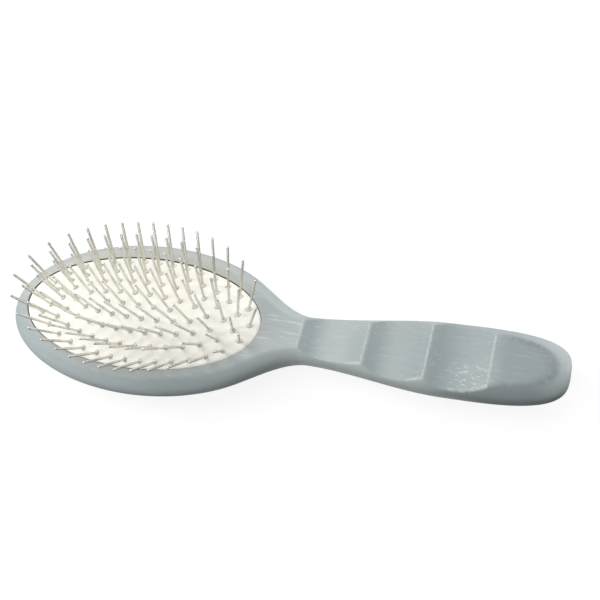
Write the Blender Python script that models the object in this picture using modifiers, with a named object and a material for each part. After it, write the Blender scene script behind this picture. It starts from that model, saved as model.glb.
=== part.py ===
"""Oval pin brush for grooming pets: a wooden body, a rubber air cushion and rings of metal pins.

Lengths are in metres. The brush lies on its back. +X runs from the toe of the head to the butt of
the handle, +Z is the way the pins point, and the origin is on the table under the middle.
"""
import math

import bmesh
import bpy
from mathutils import Matrix, Vector

# Recess in the head and the cushion that fills it, seen from above
PAD_LENGTH = 0.1041
PAD_WIDTH = 0.0486

# Wood round the recess, out to the widest line of the head
RIM_TOE = 0.0085
RIM_HEEL = 0.0084
RIM_SIDE = 0.0082

# Run of the handle, each from the last place to the next
NECK_SETBACK = 0.0186
GRIP_RUN = 0.0526
BUTT_RUN = 0.0426
NECK_WIDTH = 0.0180
GRIP_WIDTH = 0.0276
FLANK_START_RATIO = 0.66
BUTT_SQUARENESS = 3.3

# Depths under the plane of the rim, and the shape of the edge
HEAD_DEPTH = 0.0200
NECK_DEPTH = 0.0172
GRIP_DEPTH = 0.0187
WIDEST_DROP = 0.0057
UPPER_DEPTH_RATIO = 0.75
BACK_FLAT = 0.0004

# Towards the butt the widest line rises and the crest falls, while the back keeps its height
WIDEST_RISE = 0.0030
CREST_FALL = 0.0018

# The upper side is lower where the head runs into the neck
SHOULDER_SETBACK = 0.0096
SHOULDER_REACH = 0.0130
SHOULDER_DROP_RATIO = 0.12

# Finger scoops across the grip, steeper on the side of the head, and the flat thumb rest behind them
FIRST_RIDGE_SETBACK = 0.0164
SCOOP_LENGTHS = (0.0254, 0.0232, 0.0226)
SCOOP_DEPTHS = (0.0022, 0.0026, 0.0025)
SCOOP_SKEW_RATIO = 0.40
THUMB_REST_RISE = 0.0009

# Air chamber under the cushion, and the groove in its wall
CHAMBER_DEPTH = 0.0080
GROOVE_TOP = 0.0015

# Rubber cushion
CROWN = 0.0059
SKIN = 0.0016
LIP_REACH = 0.0014
LIP_THICKNESS = 0.0016

# Backing cloth and pins
CLOTH_THICKNESS = 0.0008
CLOTH_STRIP_WIDTH = 0.0026
PIN_LENGTH = 0.0212
PIN_DIAMETER = 0.0010
PIN_TIP_LENGTH = 0.0003
PIN_HEAD_DIAMETER = 0.0021
PIN_HEAD_THICKNESS = 0.0005
PIN_HEAD_SEAT = 0.0002
LEAN_RATIO_LONG = 0.50
LEAN_RATIO_WIDE = 0.72
LEAN_RATIO_HEEL = 0.37

# Pattern of the pins: four ovals round a centre row, set a little towards the heel
PIN_FIELD_SHIFT = 0.0020
PIN_MARGIN_LONG = 0.0057
PIN_MARGIN_WIDE = 0.0026
CENTRE_ROW_LENGTH = 0.0278
RING_LENGTH_CURVE = 0.55
RING_SPREAD_RATIO = 0.06
RING_PINS = (32, 28, 24, 18)
RING_PHASE_RATIOS = (0.0, 0.5, 0.0, 0.0)
SETS_IN_HALF_RING = (4, 4, 3, 3)
CENTRE_ROW_PINS = 5

CLEARANCE = 0.0003
CUTTER_MARGIN = 0.0200

# Facets of the round shapes
BODY_SIDES = 36
HEAD_STATIONS = 15
FLANK_STATIONS = 8
GRIP_STATIONS = 9
BUTT_STATIONS = 14
OVAL_SIDES = 24
RECESS_SIDES = 48
SCOOP_SIDES = 16
PIN_SIDES = 6

toe_x = -(RIM_TOE + PAD_LENGTH + NECK_SETBACK + GRIP_RUN + BUTT_RUN) / 2
pad_x = toe_x + RIM_TOE + PAD_LENGTH / 2
head_half_length = (RIM_TOE + PAD_LENGTH + RIM_HEEL) / 2
head_half_width = PAD_WIDTH / 2 + RIM_SIDE
head_x = toe_x + head_half_length
flank_x = head_x + FLANK_START_RATIO * head_half_length
heel_x = pad_x + PAD_LENGTH / 2
neck_x = heel_x + NECK_SETBACK
grip_x = neck_x + GRIP_RUN
butt_x = grip_x + BUTT_RUN
rim_z = HEAD_DEPTH
widest_z = rim_z - WIDEST_DROP
cushion_half_length = PAD_LENGTH / 2 - CLEARANCE
cushion_half_width = PAD_WIDTH / 2 - CLEARANCE


def new_collection(name):
    collection = bpy.data.collections.new(name)
    bpy.context.scene.collection.children.link(collection)
    return collection


def new_material(name, colour, roughness, metallic):
    material = bpy.data.materials.new(name)
    material.use_nodes = True
    shader = material.node_tree.nodes["Principled BSDF"]
    shader.inputs["Base Color"].default_value = (*colour, 1.0)
    shader.inputs["Roughness"].default_value = roughness
    shader.inputs["Metallic"].default_value = metallic
    return material


def new_object(name, mesh, collection, material=None, parent=None):
    thing = bpy.data.objects.new(name, mesh)
    collection.objects.link(thing)
    if material:
        mesh.materials.append(material)
    if parent:
        thing.parent = parent
    return thing


def new_cutter(name, mesh):
    thing = new_object(name, mesh, cutters)
    thing.hide_render = True
    thing.display_type = "WIRE"
    return thing


def boolean(thing, cutter, operation):
    modifier = thing.modifiers.new(cutter.name, "BOOLEAN")
    modifier.operation = operation
    modifier.object = cutter


def finish_mesh(mesh_tools, name):
    bmesh.ops.recalc_face_normals(mesh_tools, faces=mesh_tools.faces)
    mesh = bpy.data.meshes.new(name)
    mesh_tools.to_mesh(mesh)
    mesh_tools.free()
    return mesh


def shade_smooth(mesh, sharp_degrees):
    mesh.shade_smooth()
    mesh.set_sharp_from_angle(angle=math.radians(sharp_degrees))


def loft(name, sections):
    """Skins a row of closed sections. A section of one point closes an end like a pole."""
    mesh_tools = bmesh.new()
    rows = [[mesh_tools.verts.new(point) for point in section] for section in sections]
    for row, following in zip(rows, rows[1:]):
        count = max(len(row), len(following))
        for i in range(count):
            j = (i + 1) % count
            corners = [row[i % len(row)], row[j % len(row)]]
            corners += [following[j % len(following)], following[i % len(following)]]
            mesh_tools.faces.new(list(dict.fromkeys(corners)))
    for end in (rows[0], rows[-1]):
        if len(end) > 2:
            mesh_tools.faces.new(end)
    return finish_mesh(mesh_tools, name)


def oval(half_length, half_width, sides, height):
    """One oval of points round the middle of the pad. height is a number or a function of x, y."""
    points = []
    for i in range(sides):
        turn = 2 * math.pi * i / sides
        x = half_length * math.cos(turn)
        y = half_width * math.sin(turn)
        z = height(x, y) if callable(height) else height
        points.append((pad_x + x, y, z))
    return points


def ease(x, x0, x1, y0, y1, slope0=0.0):
    """Cubic from y0 to y1 that leaves with slope0 and arrives level."""
    run = x1 - x0
    s = (x - x0) / run
    leave = (s ** 3 - 2 * s ** 2 + s) * run * slope0
    return (2 * s ** 3 - 3 * s ** 2 + 1) * y0 + leave + (3 * s ** 2 - 2 * s ** 3) * y1


def head_share(x):
    """How far the head's oval has closed at x, from 1 in the middle to 0 at the toe."""
    return math.sqrt(max(0.0, 1 - ((x - head_x) / head_half_length) ** 2))


def butt_share(x):
    """How far the butt has closed at x, from 1 at the widest of the grip to 0 at the end."""
    s = (x - grip_x) / BUTT_RUN
    return max(0.0, 1 - s ** BUTT_SQUARENESS) ** (1 / BUTT_SQUARENESS)


def half_width_at(x):
    if x <= flank_x:
        return head_half_width * head_share(x)
    if x <= neck_x:
        start = head_half_width * head_share(flank_x)
        slope = -(head_half_width ** 2) * (flank_x - head_x) / (head_half_length ** 2 * start)
        return ease(x, flank_x, neck_x, start, NECK_WIDTH / 2, slope)
    if x <= grip_x:
        return ease(x, neck_x, grip_x, NECK_WIDTH / 2, GRIP_WIDTH / 2)
    return GRIP_WIDTH / 2 * butt_share(x)


def lower_depth_at(x):
    """Depth of the back under the widest line."""
    head = HEAD_DEPTH + BACK_FLAT - WIDEST_DROP
    neck = NECK_DEPTH - WIDEST_DROP
    grip = GRIP_DEPTH - WIDEST_DROP
    if x <= head_x:
        return head * head_share(x)
    if x <= neck_x:
        return ease(x, head_x, neck_x, head, neck)
    if x <= grip_x:
        return ease(x, neck_x, grip_x, neck, grip)
    return grip * butt_share(x)


def upper_share_at(x):
    """Height of the upper side over the widest line, as a share of the depth under it."""
    off = (x - heel_x - SHOULDER_SETBACK) / SHOULDER_REACH
    return UPPER_DEPTH_RATIO - SHOULDER_DROP_RATIO * math.exp(-off ** 2)


def handle_share(x):
    """Share of the rise and the fall of the handle that x has reached, from 0 at the neck to 1."""
    return (max(0.0, x - neck_x) / (butt_x - neck_x)) ** 2


def body_stations():
    """Places of the sections along the body, closer together where it rounds off."""
    quarter = math.pi / 2
    head = [head_x - head_half_length * math.cos(quarter * i / HEAD_STATIONS) for i in range(HEAD_STATIONS)]
    middle = [head_x + (flank_x - head_x) * i / FLANK_STATIONS for i in range(FLANK_STATIONS)]
    flank = [flank_x + (neck_x - flank_x) * i / FLANK_STATIONS for i in range(FLANK_STATIONS)]
    grip = [neck_x + GRIP_RUN * i / GRIP_STATIONS for i in range(GRIP_STATIONS)]
    butt = []
    for i in range(BUTT_STATIONS + 1):
        butt.append(grip_x + BUTT_RUN * math.sin(quarter * i / BUTT_STATIONS) ** (2 / BUTT_SQUARENESS))
    return head + middle + flank + grip + butt


def body_section(x):
    half_width = half_width_at(x)
    middle_z = widest_z + WIDEST_RISE * handle_share(x)
    if half_width < 1e-6:
        return [(x, 0.0, middle_z)]
    closed = butt_share(x) if x > grip_x else 1.0
    lower_depth = lower_depth_at(x)
    below = lower_depth + WIDEST_RISE * handle_share(x) * closed
    above = lower_depth * upper_share_at(x) - (WIDEST_RISE + CREST_FALL) * handle_share(x) * closed
    points = []
    for i in range(BODY_SIDES):
        turn = 2 * math.pi * i / BODY_SIDES
        reach = above if math.sin(turn) > 0 else below
        points.append((x, half_width * math.cos(turn), middle_z + reach * math.sin(turn)))
    return points


def block_cutter(name, low, high):
    mesh_tools = bmesh.new()
    bmesh.ops.create_cube(mesh_tools, size=1.0)
    size = [b - a for a, b in zip(low, high)]
    middle = [(a + b) / 2 for a, b in zip(low, high)]
    bmesh.ops.scale(mesh_tools, vec=size, verts=mesh_tools.verts)
    bmesh.ops.translate(mesh_tools, vec=middle, verts=mesh_tools.verts)
    return new_cutter(name, finish_mesh(mesh_tools, name))


def top_line():
    """Side view of the cut face from toe to butt: the land, the scoops and the thumb rest."""
    start_x = heel_x + FIRST_RIDGE_SETBACK
    start_z = rim_z
    points = [(toe_x - CUTTER_MARGIN, rim_z), (start_x, start_z)]
    for number, (length, depth) in enumerate(zip(SCOOP_LENGTHS, SCOOP_DEPTHS), start=1):
        end_z = rim_z + THUMB_REST_RISE * number / len(SCOOP_LENGTHS)
        for i in range(1, SCOOP_SIDES + 1):
            share = i / SCOOP_SIDES
            skewed = share * (1 + SCOOP_SKEW_RATIO * (1 - share))
            sunk = 4 * depth * skewed * (1 - skewed)
            points.append((start_x + length * share, start_z + (end_z - start_z) * share - sunk))
        start_x += length
        start_z = end_z
    points.append((butt_x + CUTTER_MARGIN, start_z))
    return points


def top_cutter():
    """A block across the whole brush whose underside is the top line."""
    high = rim_z + CUTTER_MARGIN
    line = [(toe_x - CUTTER_MARGIN, high), *top_line(), (butt_x + CUTTER_MARGIN, high)]
    side = head_half_width + CUTTER_MARGIN
    return new_cutter("top", loft("top", [[(x, y, z) for x, z in line] for y in (-side, side)]))


def chamber_cutter():
    """The air chamber, with the groove that the lip of the cushion snaps into."""
    half_length = PAD_LENGTH / 2
    half_width = PAD_WIDTH / 2
    reach = LIP_REACH + CLEARANCE
    groove_floor = GROOVE_TOP + LIP_THICKNESS + 2 * CLEARANCE
    profile = (
        (0.0, -CUTTER_MARGIN),
        (0.0, GROOVE_TOP),
        (reach, GROOVE_TOP),
        (reach, groove_floor),
        (0.0, groove_floor),
        (0.0, CHAMBER_DEPTH),
    )
    rings = []
    for out, drop in profile:
        rings.append(oval(half_length + out, half_width + out, RECESS_SIDES, rim_z - drop))
    return new_cutter("air_chamber", loft("air_chamber", rings))


def make_body():
    mesh = loft("brush_body", [body_section(x) for x in body_stations()])
    shade_smooth(mesh, 35)
    body = new_object("brush_body", mesh, parts, wood)
    boolean(body, top_cutter(), "DIFFERENCE")
    side = head_half_width + CUTTER_MARGIN
    under_back = block_cutter("under_back", (toe_x - CUTTER_MARGIN, -side, -CUTTER_MARGIN),
                              (butt_x + CUTTER_MARGIN, side, 0.0))
    boolean(body, under_back, "DIFFERENCE")
    boolean(body, chamber_cutter(), "DIFFERENCE")


def crown_z(x, y):
    """Height of the cushion's outer face, at x and y from the middle of the pad."""
    return rim_z + CROWN * (1 - (x / cushion_half_length) ** 2 - (y / cushion_half_width) ** 2)


def skin_underside_z(x, y):
    return crown_z(x, y) - SKIN


def cloth_top_z(x, y):
    return skin_underside_z(x, y) - CLEARANCE


def pin_direction(x, y):
    """The way a pin points that comes out of the cushion at x and y from its middle."""
    along = (x - PIN_FIELD_SHIFT) / cushion_half_length
    across = y / cushion_half_width
    splay = 1 + LEAN_RATIO_HEEL * along
    return Vector((LEAN_RATIO_LONG * along ** 3 * splay, LEAN_RATIO_WIDE * across * splay, 1.0))


def pin_foot(x, y):
    """Where that pin crosses the underside of the backing cloth."""
    root = Vector((x, y, crown_z(x, y)))
    direction = pin_direction(x, y)
    drop = SKIN + CLEARANCE + CLOTH_THICKNESS
    for _ in range(8):
        point = root - direction * drop
        drop += point.z - cloth_top_z(point.x, point.y) + CLOTH_THICKNESS
    return root - direction * drop


def ring_half_sizes(ring):
    """Half length and half width of one oval of pins, counted from the outside."""
    share = 1 - ring / len(RING_PINS)
    outer_length = cushion_half_length - PIN_MARGIN_LONG
    outer_width = cushion_half_width - PIN_MARGIN_WIDE
    row = CENTRE_ROW_LENGTH / 2
    return row + (outer_length - row) * share ** RING_LENGTH_CURVE, outer_width * share


def ring_roots(ring):
    """Roots of one oval of pins, a little further apart round its two ends."""
    half_length, half_width = ring_half_sizes(ring)
    count = RING_PINS[ring]
    steps = 1440
    turns = [2 * math.pi * i / steps for i in range(steps + 1)]
    trace = []
    for turn in turns:
        trace.append(Vector((PIN_FIELD_SHIFT + half_length * math.cos(turn), half_width * math.sin(turn))))
    reached = [0.0]
    for before, after in zip(trace, trace[1:]):
        reached.append(reached[-1] + (after - before).length)
    spread = RING_SPREAD_RATIO * (1 - ring / len(RING_PINS))
    roots = []
    i = 0
    for pin in range(count):
        share = (pin + RING_PHASE_RATIOS[ring]) / count
        wanted = (share + spread * math.sin(4 * math.pi * share) / (4 * math.pi)) * reached[-1]
        while reached[i + 1] < wanted:
            i += 1
        part = (wanted - reached[i]) / (reached[i + 1] - reached[i])
        roots.append(trace[i].lerp(trace[i + 1], part))
    return roots


def pin_sets():
    """Every set of neighbouring pins, as the name of its ring, its own name and its roots."""
    sets = []
    for ring, sets_in_half in enumerate(SETS_IN_HALF_RING):
        roots = ring_roots(ring)
        half = len(roots) // 2
        number = 0
        for first in (0, half):
            for i in range(sets_in_half):
                start = first + round(half * i / sets_in_half)
                stop = first + round(half * (i + 1) / sets_in_half)
                number += 1
                sets.append((f"pin_ring_{ring + 1}", f"pins_ring_{ring + 1}_{number}", roots[start:stop]))
    row = []
    for pin in range(CENTRE_ROW_PINS):
        share = pin / (CENTRE_ROW_PINS - 1) - 0.5
        row.append(Vector((PIN_FIELD_SHIFT + share * CENTRE_ROW_LENGTH, 0.0)))
    sets.append(("pin_centre_row", "pins_centre_row", row))
    return sets


def pin_matrix(root):
    foot = pin_foot(root.x, root.y) + Vector((pad_x, 0.0, 0.0))
    turn = Vector((0.0, 0.0, 1.0)).rotation_difference(pin_direction(root.x, root.y))
    return Matrix.Translation(foot) @ turn.to_matrix().to_4x4()


def turned_mesh(name, profile, sides):
    """Turns a profile of radius and height, given from top to bottom, round the Z axis."""
    mesh = bpy.data.meshes.new(name)
    points = [(radius, 0.0, height) for radius, height in profile]
    mesh.from_pydata(points, [(i, i + 1) for i in range(len(points) - 1)], [])
    thing = new_object(name, mesh, cutters)
    screw = thing.modifiers.new("turn", "SCREW")
    screw.steps = sides
    screw.render_steps = sides
    screw.use_merge_vertices = True
    screw.merge_threshold = 0.00001
    evaluated = thing.evaluated_get(bpy.context.evaluated_depsgraph_get())
    turned = bpy.data.meshes.new_from_object(evaluated)
    bpy.data.objects.remove(thing)
    return turned


def copies_joined(name, mesh, places):
    """Separate copies of one mesh, in a single mesh that serves as a tool for a Boolean."""
    mesh_tools = bmesh.new()
    for place in places:
        before = len(mesh_tools.verts)
        mesh_tools.from_mesh(mesh)
        mesh_tools.verts.ensure_lookup_table()
        bmesh.ops.transform(mesh_tools, matrix=place, verts=mesh_tools.verts[before:])
    return finish_mesh(mesh_tools, name)


def cushion_sections():
    top_shares = (0.35, 0.62, 0.83, 1.0)
    under_shares = (0.78, 0.45)
    sections = [[(pad_x, 0.0, crown_z(0.0, 0.0))]]
    for share in top_shares:
        sections.append(oval(cushion_half_length * share, cushion_half_width * share, OVAL_SIDES, crown_z))
    lip_top = rim_z - GROOVE_TOP - CLEARANCE
    lip_foot = lip_top - LIP_THICKNESS
    for out, height in ((0.0, lip_top), (LIP_REACH, lip_top), (LIP_REACH, lip_foot), (-SKIN, lip_foot),
                        (-SKIN, skin_underside_z)):
        sections.append(oval(cushion_half_length + out, cushion_half_width + out, OVAL_SIDES, height))
    for share in under_shares:
        size = (cushion_half_length * share, cushion_half_width * share)
        sections.append(oval(*size, OVAL_SIDES, skin_underside_z))
    sections.append([(pad_x, 0.0, skin_underside_z(0.0, 0.0))])
    return sections


def make_cushion(places):
    mesh = loft("cushion_pad", cushion_sections())
    shade_smooth(mesh, 40)
    cushion = new_object("cushion_pad", mesh, parts, rubber)
    hole = PIN_DIAMETER / 2 + CLEARANCE
    reach = SKIN + 2 * CLOTH_THICKNESS
    profile = ((0.0, reach + CROWN), (hole, reach + CROWN), (hole, -reach), (0.0, -reach))
    holes = copies_joined("pin_holes", turned_mesh("pin_hole", profile, PIN_SIDES), places)
    boolean(cushion, new_cutter("pin_holes", holes), "DIFFERENCE")


def cloth_strip(name, roots):
    """The slice of backing cloth under one set of pins, run on a little past the end pins."""
    feet = [pin_foot(root.x, root.y).xy for root in roots]
    past_end = CLOTH_STRIP_WIDTH / 2
    first = feet[0] + (feet[0] - feet[1]).normalized() * past_end
    last = feet[-1] + (feet[-1] - feet[-2]).normalized() * past_end
    line = [first, *feet, last]
    sections = []
    for i, point in enumerate(line):
        along = (line[min(i + 1, len(line) - 1)] - line[max(i - 1, 0)]).normalized()
        across = Vector((-along.y, along.x)) * CLOTH_STRIP_WIDTH / 2
        section = []
        corners = ((across, 0.0), (-across, 0.0), (-across, CLOTH_THICKNESS), (across, CLOTH_THICKNESS))
        for side, drop in corners:
            place = point + side
            section.append((pad_x + place.x, place.y, cloth_top_z(place.x, place.y) - drop))
        sections.append(section)
    return loft(name, sections)


def make_pins():
    radius = PIN_DIAMETER / 2
    head = PIN_HEAD_DIAMETER / 2
    profile = ((0.0, PIN_LENGTH), (radius, PIN_LENGTH - PIN_TIP_LENGTH), (radius, PIN_HEAD_SEAT),
               (head, PIN_HEAD_SEAT), (head, -PIN_HEAD_THICKNESS), (0.0, -PIN_HEAD_THICKNESS))
    pin = turned_mesh("pin", profile, PIN_SIDES)
    middles = {}
    places = []
    for ring_name, set_name, roots in pin_sets():
        if ring_name not in middles:
            middle = bpy.data.objects.new(ring_name, None)
            middle.location = (pad_x, 0.0, rim_z)
            parts.objects.link(middle)
            middles[ring_name] = middle
        set_places = [pin_matrix(root) for root in roots]
        places += set_places
        strip = cloth_strip(set_name, roots)
        strip.transform(Matrix.Translation((-pad_x, 0.0, -rim_z)))
        pins = new_object(set_name, strip, parts, steel, middles[ring_name])
        tool = new_cutter(f"{set_name}_tool", copies_joined(f"{set_name}_tool", pin, set_places))
        boolean(pins, tool, "UNION")
    return places


for old in list(bpy.data.objects):
    bpy.data.objects.remove(old)
parts = new_collection("pet_grooming_brush")
cutters = new_collection("cutters")
wood = new_material("stained_wood", (0.36, 0.43, 0.42), 0.55, 0.0)
rubber = new_material("cream_rubber", (0.85, 0.83, 0.76), 0.60, 0.0)
steel = new_material("pin_steel", (0.62, 0.60, 0.56), 0.30, 1.0)
make_body()
make_cushion(make_pins())
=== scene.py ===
"""Oval pin brush for grooming pets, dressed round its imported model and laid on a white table."""

import math

import bmesh
import bpy
from mathutils import Matrix, Vector


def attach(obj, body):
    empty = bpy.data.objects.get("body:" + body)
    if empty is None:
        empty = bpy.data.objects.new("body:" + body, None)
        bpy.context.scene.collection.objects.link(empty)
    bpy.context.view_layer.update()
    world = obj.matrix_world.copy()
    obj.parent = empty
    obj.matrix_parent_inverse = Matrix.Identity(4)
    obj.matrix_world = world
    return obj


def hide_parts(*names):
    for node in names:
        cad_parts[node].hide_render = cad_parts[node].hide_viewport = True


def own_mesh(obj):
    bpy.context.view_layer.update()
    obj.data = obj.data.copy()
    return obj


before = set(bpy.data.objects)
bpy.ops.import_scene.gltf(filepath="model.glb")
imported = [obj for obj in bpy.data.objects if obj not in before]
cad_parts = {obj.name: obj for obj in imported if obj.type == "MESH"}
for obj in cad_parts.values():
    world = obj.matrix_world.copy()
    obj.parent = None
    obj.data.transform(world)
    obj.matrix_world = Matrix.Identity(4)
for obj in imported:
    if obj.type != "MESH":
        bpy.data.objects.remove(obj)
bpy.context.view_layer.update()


# Camera. The brush is pictured from above its near side, with the head to the left and the
# handle falling away to the right, so the picture is turned against the table.
sight_right = Vector((0.9363, 0.2535, -0.2430))
sight_down = Vector((0.1176, -0.8785, -0.4631))
sight_ahead = sight_right.cross(sight_down)
sight_place = (0.12519, -0.12494, 0.31177)
sight = bpy.data.cameras.new("sight")
sight.lens = 54
sight.sensor_width = 36
sight.clip_start = 0.01
camera = bpy.data.objects.new("camera", sight)
camera.matrix_world = (Matrix.Translation(sight_place)
                       @ Matrix((sight_right, -sight_down, -sight_ahead)).transposed().to_4x4())
bpy.context.scene.collection.objects.link(camera)
bpy.context.scene.camera = camera
bpy.context.scene.view_settings.view_transform = "Standard"


# Studio. A sheet of white paper on a table. Soft round lamps stand on the near and the far side, a
# third beyond the toe has its beam on the head, a low one picks out the butt, and two weak ones
# lighten the neck and the top. What shines in the steel is the white of the room.
class Signal:
    """What comes out of a node, so that Python's own arithmetic adds the Math nodes."""

    def __init__(self, nodes, node, output=0):
        self.nodes = nodes
        self.node = node
        self.socket = node.outputs[output] if node.outputs else None

    def out(self, output):
        return Signal(self.nodes, self.node, output)

    def maths(self, operation, *terms):
        return self.nodes.add("ShaderNodeMath", {"operation": operation}, dict(enumerate(terms)))

    def function(self, operation):
        """A function of this one number, such as its sine."""
        return self.maths(operation, self)

    def larger(self, other):
        return self.maths("MAXIMUM", self, other)

    def __add__(self, other):
        return self.maths("ADD", self, other)

    def __radd__(self, other):
        return self.maths("ADD", other, self)

    def __sub__(self, other):
        return self.maths("SUBTRACT", self, other)

    def __rsub__(self, other):
        return self.maths("SUBTRACT", other, self)

    def __mul__(self, other):
        return self.maths("MULTIPLY", self, other)

    def __rmul__(self, other):
        return self.maths("MULTIPLY", other, self)

    def __truediv__(self, other):
        return self.maths("DIVIDE", self, other)

    def __rtruediv__(self, other):
        return self.maths("DIVIDE", other, self)

    def __pow__(self, other):
        return self.maths("POWER", self, other)

    def __neg__(self):
        return self.maths("MULTIPLY", self, -1.0)

    def __abs__(self):
        return self.function("ABSOLUTE")

    def rise(self, low, high):
        """Eases from 0 at low to 1 at high, and falls instead where low is the larger."""
        return self.nodes.add("ShaderNodeMapRange", {"interpolation_type": "SMOOTHSTEP"},
                              {"Value": self, 1: low, 2: high})

    def between(self, start, full, fading, gone):
        """Eases from 0 at start to 1 at full, stays there, and eases from 1 at fading to 0 at gone."""
        return self.rise(start, full) * self.rise(gone, fading)


class Nodes:
    """A node tree, with the one way in which its nodes are added."""

    def __init__(self, tree):
        self.tree = tree

    def add(self, kind, settings=None, sockets=None, output=0):
        node = self.tree.nodes.new(kind)
        for name, value in (settings or {}).items():
            setattr(node, name, value)
        for name, value in (sockets or {}).items():
            if isinstance(value, Signal):
                self.tree.links.new(value.socket, node.inputs[name])
            else:
                node.inputs[name].default_value = value
        return Signal(self, node, output)

    def mix(self, first, second, share):
        """Two colours mixed, each a signal or a red, green, blue triple."""
        colours = {}
        for slot, colour in ((6, first), (7, second)):
            colours[slot] = colour if isinstance(colour, Signal) else (*colour, 1.0)
        return self.add("ShaderNodeMix", {"data_type": "RGBA"}, {0: share, **colours}, output=2)

    def washed(self, colour, washes):
        """A colour with washes laid over it in turn, each a colour and the share that it covers."""
        for wash, share in washes:
            colour = self.mix(colour, wash, share)
        return colour

    def stretched(self, place, scale):
        return self.add("ShaderNodeVectorMath", {"operation": "MULTIPLY"}, {0: place, 1: scale})

    def mottle(self, place, scale, detail=3.0, roughness=0.5, distortion=0.0):
        """Soft noise about 0.5, with so many lumps to a metre along each axis."""
        return self.add("ShaderNodeTexNoise", {},
                        {"Vector": self.stretched(place, scale), "Scale": 1.0, "Detail": detail,
                         "Roughness": roughness, "Distortion": distortion})

    def where(self):
        """The place on the piece, whole and then as its X, Y and Z."""
        place = self.add("ShaderNodeTexCoord").out("Object")
        apart = self.add("ShaderNodeSeparateXYZ", {}, {0: place})
        return place, apart, apart.out("Y"), apart.out("Z")

    def stored(self, name):
        """A number that the mesh keeps for each of its points."""
        return self.add("ShaderNodeAttribute", {"attribute_name": name}).out("Fac")

    def bumped(self, relief, strength, depth):
        return self.add("ShaderNodeBump", {}, {"Strength": strength, "Distance": depth, "Height": relief})


def new_material(name):
    material = bpy.data.materials.new(name)
    material.use_nodes = True
    material.node_tree.nodes.clear()
    return material, Nodes(material.node_tree)


def finish_material(nodes, surface):
    nodes.add("ShaderNodeOutputMaterial", {}, {"Surface": surface})


def new_object(name, mesh, material):
    thing = bpy.data.objects.new(name, mesh)
    bpy.context.scene.collection.objects.link(thing)
    mesh.materials.clear()
    mesh.materials.append(material)
    return thing


def seen_ray(nodes, mirrored=1.0):
    """1 for what the camera sees, mirrored for what it sees in a shiny surface, else 0."""
    path = nodes.add("ShaderNodeLightPath")
    shiny = path.out("Is Glossy Ray") * mirrored
    return shiny.larger(path.out("Is Camera Ray")).larger(path.out("Is Transmission Ray"))


white = (1.0, 1.0, 1.0, 1.0)
paper_half = 2.5
paper_albedo = 0.16
fibre_albedo = 0.15
fibres_a_metre = 400
paper_lift = 0.87
paper_mirrored = 0.20
room_light = 0.02

# For each lamp: its place, what it is aimed at, its width, its beam in degrees and its power.
lamps = (
    ("toe_lamp", (-0.60, 0.06, 0.58), (-0.16, 0.0, 0.02), 0.80, 60, 1.00),
    ("near_lamp", (-0.60, -0.60, 0.35), (-0.05, 0.0, 0.01), 0.60, 180, 4.1),
    ("neck_lamp", (0.35, -0.60, 0.25), (0.0, 0.0, 0.01), 0.50, 180, 0.45),
    ("far_lamp", (0.10, 0.75, 0.45), (0.0, 0.0, 0.01), 0.90, 180, 4.3),
    ("butt_lamp", (0.60, 0.30, 0.10), (0.11, 0.0, 0.012), 0.20, 180, 2.5),
    ("high_lamp", (-0.10, -0.10, 0.85), (0.0, 0.0, 0.02), 0.60, 40, 0.20),
)

paper, paper_nodes = new_material("white_paper")
paper_place = paper_nodes.add("ShaderNodeTexCoord").out("Object")
fibres = paper_nodes.mottle(paper_place, (fibres_a_metre,) * 3)
paper_colour = paper_nodes.mix((paper_albedo,) * 3, (fibre_albedo,) * 3, fibres)
matt_paper = {"Base Color": paper_colour, "Roughness": 0.9, "Specular IOR Level": 0.1}
plain_paper = paper_nodes.add("ShaderNodeBsdfPrincipled", {}, matt_paper)
lifted_paper = paper_nodes.add("ShaderNodeBsdfPrincipled", {}, {
    **matt_paper, "Emission Color": white, "Emission Strength": paper_lift})
finish_material(paper_nodes, paper_nodes.add("ShaderNodeMixShader", {}, {
    0: seen_ray(paper_nodes, mirrored=paper_mirrored), 1: plain_paper, 2: lifted_paper}))
paper_mesh = bpy.data.meshes.new("paper_sheet")
paper_corners = [(x * paper_half, y * paper_half, 0) for x, y in ((-1, -1), (1, -1), (1, 1), (-1, 1))]
paper_mesh.from_pydata(paper_corners, [], [(0, 1, 2, 3)])
paper_sheet = new_object("paper_sheet", paper_mesh, paper)

room = bpy.data.worlds.new("room")
room.use_nodes = True
room.node_tree.nodes.clear()
room_nodes = Nodes(room.node_tree)
room_strength = room_light + seen_ray(room_nodes) * (1.0 - room_light)
room_background = room_nodes.add("ShaderNodeBackground", {}, {"Color": white, "Strength": room_strength})
room_nodes.add("ShaderNodeOutputWorld", {}, {"Surface": room_background})
bpy.context.scene.world = room

for name, place, aim, size, beam, power in lamps:
    lamp = bpy.data.lights.new(name, "AREA")
    lamp.shape = "DISK"
    lamp.size = size
    lamp.spread = math.radians(beam)
    lamp.energy = power
    lamp_object = bpy.data.objects.new(name, lamp)
    lamp_object.location = place
    lamp_object.rotation_euler = (Vector(aim) - Vector(place)).to_track_quat("-Z", "Y").to_euler()
    bpy.context.scene.collection.objects.link(lamp_object)


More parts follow.
